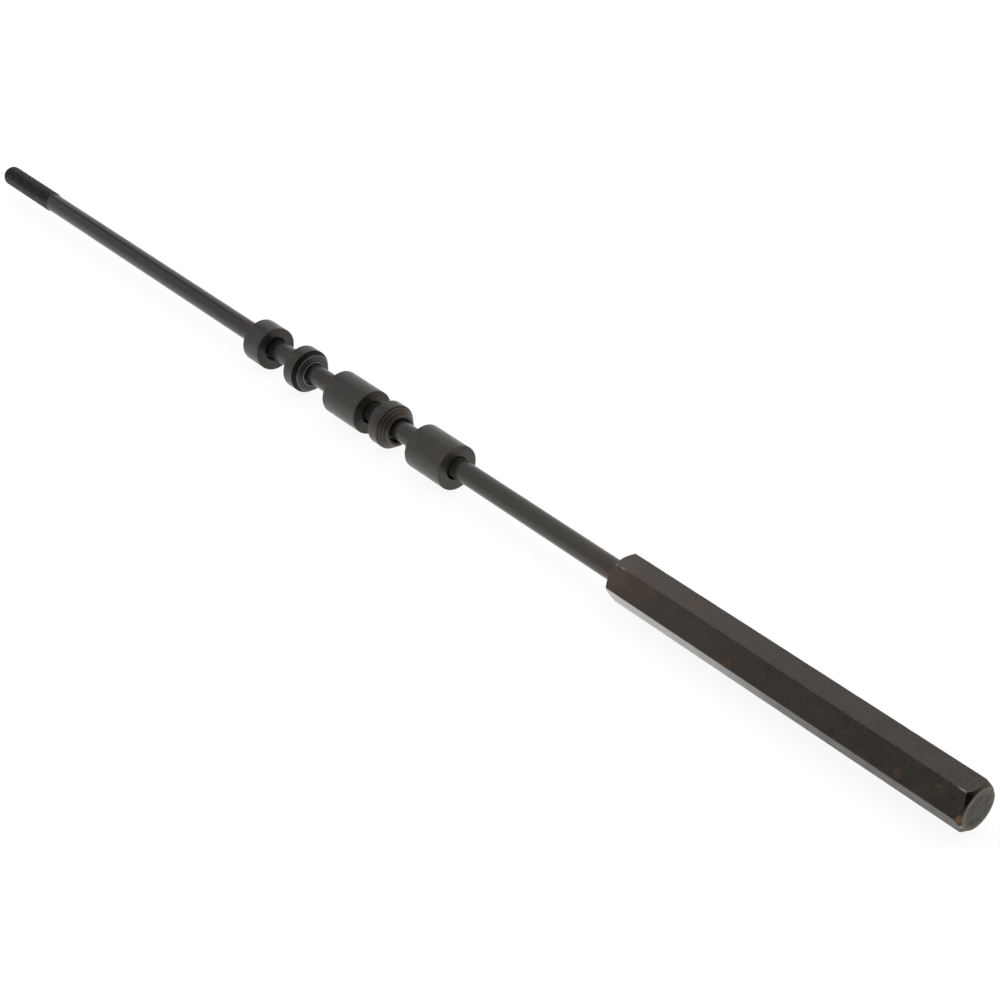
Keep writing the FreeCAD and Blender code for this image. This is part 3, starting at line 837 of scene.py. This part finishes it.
def make_handle(context):
    settings = context.scene.punch_handle
    front, rear, axis_height = handle_box()
    flat = settings.across_flats / 2.0
    corner = settings.across_flats / math.sqrt(3.0)
    bm = handle_ring(settings, axis_height, front)
    edge_layer = bm.verts.layers.float.new(EDGE_LAYER)
    first_ring = bm.edges[:]
    ring = first_ring
    for along in handle_stations(front, rear, settings):
        def place(vert, along=along):
            vert.co.x = along
        ring = extrude_ring(bm, ring, place)

    # Turn both ends: no vertex stands further out than the cone there.
    front_rim, rear_rim = flat - settings.front_inset, flat - settings.struck_inset
    for vert in bm.verts:
        radius, angle = radial(vert.co, axis_height)
        front_limit = front_rim + (corner - front_rim) * (vert.co.x - front) / settings.front_turning
        rear_limit = rear_rim + (corner - rear_rim) * (rear - vert.co.x) / settings.struck_turning
        limit = min(front_limit, rear_limit)
        from_corner = abs((math.degrees(angle) + 30.0) % 60.0 - 30.0)
        sharp = 1.0 - smooth_step(1.5, 3.2, from_corner)
        turned = 1.0 - smooth_step(0.03 * MM, 0.16 * MM, abs(radius - limit))
        vert[edge_layer] = max(sharp if radius < limit + 0.1 * MM else 0.0, turned)
        dent = smooth_step(0.1, 0.6, noise.fractal(vert.co * PER_MM * 0.35, 1.0, 2.0, 3))
        radius -= sharp * dent * settings.nick_depth
        place_radially(vert, vert.co.x, min(radius, limit), angle, axis_height)

    soft = 0.05 * MM
    end_ring = extrude_turned(bm, ring, [
        (rear, rear_rim - 1.5 * soft), (rear, rear_rim - 6.0 * soft), (rear, 0.66 * rear_rim),
        (rear, 0.33 * rear_rim), (rear, 0.08 * rear_rim)], axis_height)
    close_ring(bm, end_ring)
    wall, floor = settings.socket_radius, front + settings.socket_depth
    front_ring = extrude_turned(bm, first_ring, [
        (front, front_rim - 4.0 * soft), (front, 0.5 * (front_rim + wall + settings.socket_lead)),
        (front, wall + settings.socket_lead), (front + settings.socket_lead, wall), (floor, wall),
        (floor, wall - 0.6 * MM), (floor + settings.drill_point, 0.03 * wall)], axis_height)
    close_ring(bm, front_ring)
    bmesh.ops.recalc_face_normals(bm, faces=bm.faces[:])
    hollow_layer = bm.verts.layers.float.new(HOLLOW_LAYER)
    for vert in bm.verts:
        radius, _angle = radial(vert.co, axis_height)
        near_rim = smooth_step(0.5 * MM, 0.1 * MM, abs(radius - rear_rim) + abs(vert.co.x - rear))
        vert[hollow_layer] = near_rim
        vert[edge_layer] = max(vert[edge_layer], 0.5 * near_rim)
    for face in bm.faces:
        middle = face.calc_center_median()
        radius, angle = radial(middle, axis_height)
        sector = math.radians((math.degrees(angle)) % 60.0 - 30.0)
        on_bar = radius * math.cos(sector) > flat - 0.02 * MM and front < middle.x < rear
        face.material_index = 0 if on_bar or abs(face.normal.x) < 0.1 else 1
    finish_piece(bm, "blackened_handle", "tool", [black_bar_steel(), turned_end_steel()],
                 "hex_handle")


def thread_outline():
    """One pitch of the thread from root to root: (share of the pitch, share of the depth)."""
    half = [(0.0, 0.0), (0.11, 0.03), (0.16, 0.12), (0.30, 0.57), (0.42, 0.96), (0.455, 1.0)]
    return half + [(1.0 - share, height) for share, height in reversed(half)]


def make_rod(context):
    settings = context.scene.punch_rod
    low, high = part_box("threaded_rod")
    tip, axis_height = low.x, handle_box()[2]
    rod_radius = settings.rod_diameter / 2.0
    crest = settings.thread_diameter / 2.0
    root = crest - settings.thread_depth
    pitch = settings.thread_pitch
    thread_end = tip + settings.thread_length
    plain_start = thread_end + settings.thread_runout
    turns = math.ceil((plain_start - tip) / pitch) + 3

    bm = bmesh.new()
    points = [bm.verts.new((tip - 1.5 * pitch + share * pitch, 0.0,
                            axis_height + root + (crest - root) * height))
              for share, height in thread_outline()]
    for first, second in zip(points, points[1:]):
        bm.edges.new((first, second))
    bmesh.ops.spin(bm, geom=bm.verts[:] + bm.edges[:], cent=(0.0, 0.0, axis_height), axis=(1.0, 0.0, 0.0),
                   dvec=(pitch / THREAD_STEPS, 0.0, 0.0), angle=math.tau, steps=THREAD_STEPS,
                   use_merge=False)
    turn = whole(bm)
    for count in range(1, turns):
        copied = bmesh.ops.duplicate(bm, geom=turn)["geom"]
        bmesh.ops.translate(bm, vec=(pitch * count, 0.0, 0.0), verts=verts_of(copied))
    bmesh.ops.remove_doubles(bm, verts=bm.verts[:], dist=0.002 * MM)
    for vert in bm.verts:
        radius, angle = radial(vert.co, axis_height)
        fade = 1.0 - smooth_step(thread_end - 0.4 * pitch, plain_start, vert.co.x)
        radius = rod_radius + (radius - rod_radius) * fade
        lead = crest - settings.tip_turn_depth * (1.0 - (vert.co.x - tip) / settings.tip_turn_length)
        place_radially(vert, vert.co.x, min(radius, lead), angle, axis_height)
    rings = []
    tip_radius = crest - settings.tip_turn_depth
    start = plain_start + 0.3 * MM
    for along, radius, facing in ((tip, tip_radius, -1.0), (start, rod_radius, 1.0)):
        cut = bmesh.ops.bisect_plane(bm, geom=whole(bm), dist=0.0005 * MM, plane_co=(along, 0.0, 0.0),
                                     plane_no=(facing, 0.0, 0.0), clear_outer=True)["geom_cut"]
        ring_verts = verts_of(cut)
        for vert in ring_verts:
            place_radially(vert, along, radius, radial(vert.co, axis_height)[1], axis_height)
        bmesh.ops.remove_doubles(bm, verts=ring_verts, dist=0.04 * MM)
        near = 0.001 * MM
        rings.append([edge for edge in bm.edges
                      if edge.is_boundary and all(abs(vert.co.x - along) < near for vert in edge.verts)])
    tip_ring = extrude_turned(bm, rings[0], [(tip, 0.93 * tip_radius), (tip, 0.5 * tip_radius),
                                             (tip, 0.06 * tip_radius)], axis_height)
    close_ring(bm, tip_ring)
    stop = high.x - settings.end_chamfer
    count = int((stop - start) / (4.0 * MM))
    stations = [(start + (stop - start) * step / count, rod_radius) for step in range(1, count + 1)]
    end_radius = rod_radius - settings.end_chamfer
    stations += [(high.x, end_radius), (high.x, 0.5 * end_radius), (high.x, 0.06 * end_radius)]
    close_ring(bm, extrude_turned(bm, rings[1], stations, axis_height))
    bmesh.ops.recalc_face_normals(bm, faces=bm.faces[:])
    mark_edges(bm)
    for face in bm.faces:
        face.material_index = 1 if face.calc_center_median().x < thread_end + 0.3 * MM else 0
    finish_piece(bm, "threaded_rod_turned", "tool", [rod_steel(), thread_steel()],
                 "threaded_rod", sharp=math.radians(75.0))


def bored_outline(settings, start, stop, mouth, outside):
    """A sleeve's outline: its bore with a chamfer at each end, then the corners of its outside."""
    bore, outer = settings.bore / 2.0, settings.diameter / 2.0
    return [
        (stop - mouth, bore),
        (start + settings.far_mouth, bore),
        (start, bore + settings.far_mouth),
        (start, outer - settings.edge_break),
        (start + settings.edge_break, outer),
    ] + outside + [(stop, bore + mouth)]


def feed_marks(start, finish, count, depth):
    """Points of a turned slope with shallow grooves, without its own ends."""
    points = []
    for mark in range(count):
        for part, sunk in ((0.25, 0.0), (0.5, 1.0), (0.75, 0.0)):
            share = (mark + part) / count
            along = start[0] + (finish[0] - start[0]) * share
            radius = start[1] + (finish[1] - start[1]) * share - depth * sunk
            points.append((along, radius))
    return points


def turn_sleeve(node, outline, support, materials, in_painted_shade=None):
    """Turn a sleeve or collar. in_painted_shade(along, radius) says where its second material, the painted
    shade, goes.
    """
    axis_height = sleeve_axis_height()
    bm = turn_outline(outline, axis_height, bpy.context.scene.punch_sleeves.rounding, support)
    mark_edges(bm)
    for face in bm.faces if in_painted_shade else ():
        middle = face.calc_center_median()
        face.material_index = 1 if in_painted_shade(middle.x, radial(middle, axis_height)[0]) else 0
    finish_piece(bm, f"{node}_turned", node, materials, node)


def make_plain_sleeve(context, node, mouth, paleness):
    settings = context.scene.punch_sleeves
    low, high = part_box(node)
    outer = settings.diameter / 2.0
    outline = bored_outline(settings, low.x, high.x, mouth, [
        (high.x - settings.edge_break, outer), (high.x, outer - settings.edge_break)])
    turn_sleeve(node, outline, 0.3 * MM, [turned_sleeve_steel(node, paleness)])


def make_thin_collar(context):
    settings = context.scene.punch_sleeves
    collar = context.scene.punch_collars
    low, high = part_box("thin_stepped_collar")
    bore, outer = settings.bore / 2.0, settings.diameter / 2.0
    cone_end = low.x + collar.thin_land + collar.thin_cone
    face_start = cone_end + collar.thin_step
    face_end = face_start + collar.thin_nose
    cone_radius = outer - collar.thin_fall
    rim = bore + collar.rim_width
    face_edge = (face_start, cone_radius - collar.thin_ease)
    outline = [
        (high.x, bore),
        (low.x + settings.far_mouth, bore),
        (low.x, bore + settings.far_mouth),
        (low.x, outer - settings.edge_break),
        (low.x + settings.edge_break, outer),
        (low.x + collar.thin_land, outer),
        (cone_end, cone_radius),
        face_edge,
        (face_end, rim),
        (high.x, rim),
    ]
    # The thin collar's cone takes the painted-shade material, for its dark reflection.
    cone_start = low.x + collar.thin_land + 0.05 * MM
    turn_sleeve("thin_stepped_collar", outline, COLLAR_SUPPORT,
                [thin_collar_steel(), painted_shade_steel("thin_stepped_collar")],
                lambda along, radius: cone_start < along < cone_end and radius > rim)


def make_thick_collar(context):
    settings = context.scene.punch_sleeves
    collar = context.scene.punch_collars
    low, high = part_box("thick_stepped_collar")
    face_radius = settings.bore / 2.0 + collar.thick_mouth + collar.thick_face
    top = (low.x + collar.thick_land, settings.diameter / 2.0)
    foot = (top[0] + collar.thick_cone, face_radius + collar.thick_ease)
    outside = [top] + feed_marks(top, foot, collar.groove_count, collar.groove_depth)
    outside += [foot, (high.x, face_radius)]
    outline = bored_outline(settings, low.x, high.x, collar.thick_mouth, outside)
    # The bore's mouth and the inner face at the far end take the painted-shade material.
    mouth = face_radius - 0.6 * collar.thick_face
    turn_sleeve("thick_stepped_collar", outline, COLLAR_SUPPORT,
                [thick_collar_steel(), painted_shade_steel("thick_stepped_collar")],
                lambda along, radius: along > high.x - 1.5 * MM and radius < mouth)


# ------------------------------------------------------------------------------------------------ studio

def paper_floor(settings):
    """White paper on a lit table, so that shadows on it stay faint."""
    material = bpy.data.materials.new("White sweep")
    material.use_nodes = True
    shader = material.node_tree.nodes["Principled BSDF"]
    feed(material.node_tree, shader, Base_Color=(0.22, 0.22, 0.22, 1.0), Roughness=0.85,
         Specular_IOR_Level=0.0, Emission_Color=(1.0, 1.0, 1.0, 1.0), Emission_Strength=settings.floor_glow)
    return material


def make_floor(settings):
    bm = bmesh.new()
    bmesh.ops.create_grid(bm, x_segments=8, y_segments=8, size=settings.floor_size / 2.0)
    add_object(bm, "studio_floor", [paper_floor(settings)])


def make_room(settings):
    """A white room whose reflections are dark on one side and in a gap between a wall and the ceiling."""
    world = bpy.data.worlds.new("White room")
    bpy.context.scene.world = world
    world.use_nodes = True
    tree = world.node_tree
    tree.nodes.clear()
    direction = add_node(tree, "ShaderNodeTexCoord").outputs["Generated"]
    behind = (math.sin(settings.azimuth), -math.cos(settings.azimuth), 0.0)
    towards = vector_maths(tree, "DOT_PRODUCT", direction, behind)
    level = ramp_range(tree, towards, -0.15, 0.65, 1.0, 1.0 - settings.shade)
    gap = vector_maths(tree, "DOT_PRODUCT", direction, GAP_DIRECTION)
    level = maths(tree, "MULTIPLY", level, ramp_range(tree, gap, 0.985, 0.998, 1.0, 0.1))
    seen = add_node(tree, "ShaderNodeLightPath").outputs["Is Camera Ray"]
    level = maths(tree, "MAXIMUM", level, maths(tree, "MULTIPLY", seen, BACKDROP_BRIGHTNESS))
    background = add_node(tree, "ShaderNodeBackground")
    tree.links.new(maths(tree, "MULTIPLY", level, settings.sky), background.inputs["Strength"])
    output = add_node(tree, "ShaderNodeOutputWorld")
    tree.links.new(background.outputs[0], output.inputs["Surface"])


def make_softbox(settings):
    """A square light high above the tool and a little behind it, aimed at its middle."""
    data = bpy.data.lights.new("overhead_softbox", "AREA")
    data.shape = "RECTANGLE"
    data.size = data.size_y = 1.8
    data.energy = settings.softbox
    lamp = bpy.data.objects.new("overhead_softbox", data)
    lamp.location = (0.0, 0.45, 1.5)
    lamp.rotation_euler = (-lamp.location).to_track_quat("-Z", "Y").to_euler()
    bpy.context.scene.collection.objects.link(lamp)


def make_camera(settings):
    azimuth, elevation = settings.azimuth, settings.elevation
    back = Vector((math.sin(azimuth) * math.cos(elevation), -math.cos(azimuth) * math.cos(elevation),
                   math.sin(elevation)))
    data = bpy.data.cameras.new("studio_camera")
    data.lens = settings.lens
    data.sensor_width = 36.0
    data.clip_start, data.clip_end = 0.01, 50.0
    camera = bpy.data.objects.new("studio_camera", data)
    aim = Vector((settings.aim_along, 0.0, settings.aim_height))
    camera.location = aim + back * settings.distance
    upright = (-back).to_track_quat("-Z", "Y").to_matrix()
    camera.rotation_euler = (upright @ Matrix.Rotation(settings.roll, 3, "Z")).to_euler()
    bpy.context.scene.collection.objects.link(camera)
    bpy.context.scene.camera = camera


def make_studio(context):
    settings = context.scene.punch_studio
    context.scene.view_settings.view_transform = "Standard"
    make_camera(settings)
    make_floor(settings)
    make_room(settings)
    make_softbox(settings)


# --------------------------------------------------------------------------------------------- operators

class PUNCH_OT_handle(Operator):
    """Make the hexagon handle"""
    bl_idname = "punch.make_handle"
    bl_label = "Handle"

    def execute(self, context):
        make_handle(context)
        return {"FINISHED"}


class PUNCH_OT_rod(Operator):
    """Make the rod with its thread"""
    bl_idname = "punch.make_rod"
    bl_label = "Rod"

    def execute(self, context):
        make_rod(context)
        return {"FINISHED"}


class PUNCH_OT_sleeves(Operator):
    """Make the three plain sleeves"""
    bl_idname = "punch.make_sleeves"
    bl_label = "Plain sleeves"

    def execute(self, context):
        settings = context.scene.punch_sleeves
        make_plain_sleeve(context, "tip_sleeve", settings.tip_mouth, 0.0)
        make_plain_sleeve(context, "middle_sleeve", settings.plain_mouth, 0.3)
        make_plain_sleeve(context, "handle_sleeve", settings.plain_mouth, 0.6)
        return {"FINISHED"}


class PUNCH_OT_thin_collar(Operator):
    """Make the thin stepped collar"""
    bl_idname = "punch.make_thin_collar"
    bl_label = "Thin collar"

    def execute(self, context):
        make_thin_collar(context)
        return {"FINISHED"}


class PUNCH_OT_thick_collar(Operator):
    """Make the thick coned collar"""
    bl_idname = "punch.make_thick_collar"
    bl_label = "Thick collar"

    def execute(self, context):
        make_thick_collar(context)
        return {"FINISHED"}


class PUNCH_OT_studio(Operator):
    """Make the camera, the floor, the room and the light"""
    bl_idname = "punch.make_studio"
    bl_label = "Studio"

    def execute(self, context):
        make_studio(context)
        return {"FINISHED"}


OPERATORS = (PUNCH_OT_studio, PUNCH_OT_handle, PUNCH_OT_rod, PUNCH_OT_sleeves, PUNCH_OT_thin_collar,
             PUNCH_OT_thick_collar)
SETTINGS = (
    ("punch_handle", HandleSettings),
    ("punch_rod", RodSettings),
    ("punch_sleeves", SleeveSettings),
    ("punch_collars", CollarSettings),
    ("punch_finish", FinishSettings),
    ("punch_studio", StudioSettings),
)


class PUNCH_PT_sidebar(Panel):
    """Lists the pieces to make and their settings"""
    bl_label = "Long Punch"
    bl_idname = "PUNCH_PT_sidebar"
    bl_space_type = "VIEW_3D"
    bl_region_type = "UI"
    bl_category = "Punch"

    def draw(self, context):
        for operator in OPERATORS:
            self.layout.operator(operator.bl_idname)
        for name, group in SETTINGS:
            box = self.layout.box()
            for field in group.__annotations__:
                box.prop(getattr(context.scene, name), field)


def register():
    for _name, group in SETTINGS:
        bpy.utils.register_class(group)
    for name, group in SETTINGS:
        setattr(bpy.types.Scene, name, PointerProperty(type=group))
    for operator in OPERATORS:
        bpy.utils.register_class(operator)
    bpy.utils.register_class(PUNCH_PT_sidebar)


def unregister():
    bpy.utils.unregister_class(PUNCH_PT_sidebar)
    for operator in reversed(OPERATORS):
        bpy.utils.unregister_class(operator)
    for name, group in reversed(SETTINGS):
        delattr(bpy.types.Scene, name)
        bpy.utils.unregister_class(group)


def main():
    register()
    bpy.ops.punch.make_studio()
    bpy.ops.punch.make_handle()
    bpy.ops.punch.make_rod()
    bpy.ops.punch.make_sleeves()
    bpy.ops.punch.make_thin_collar()
    bpy.ops.punch.make_thick_collar()


if __name__ == "__main__":
    main()
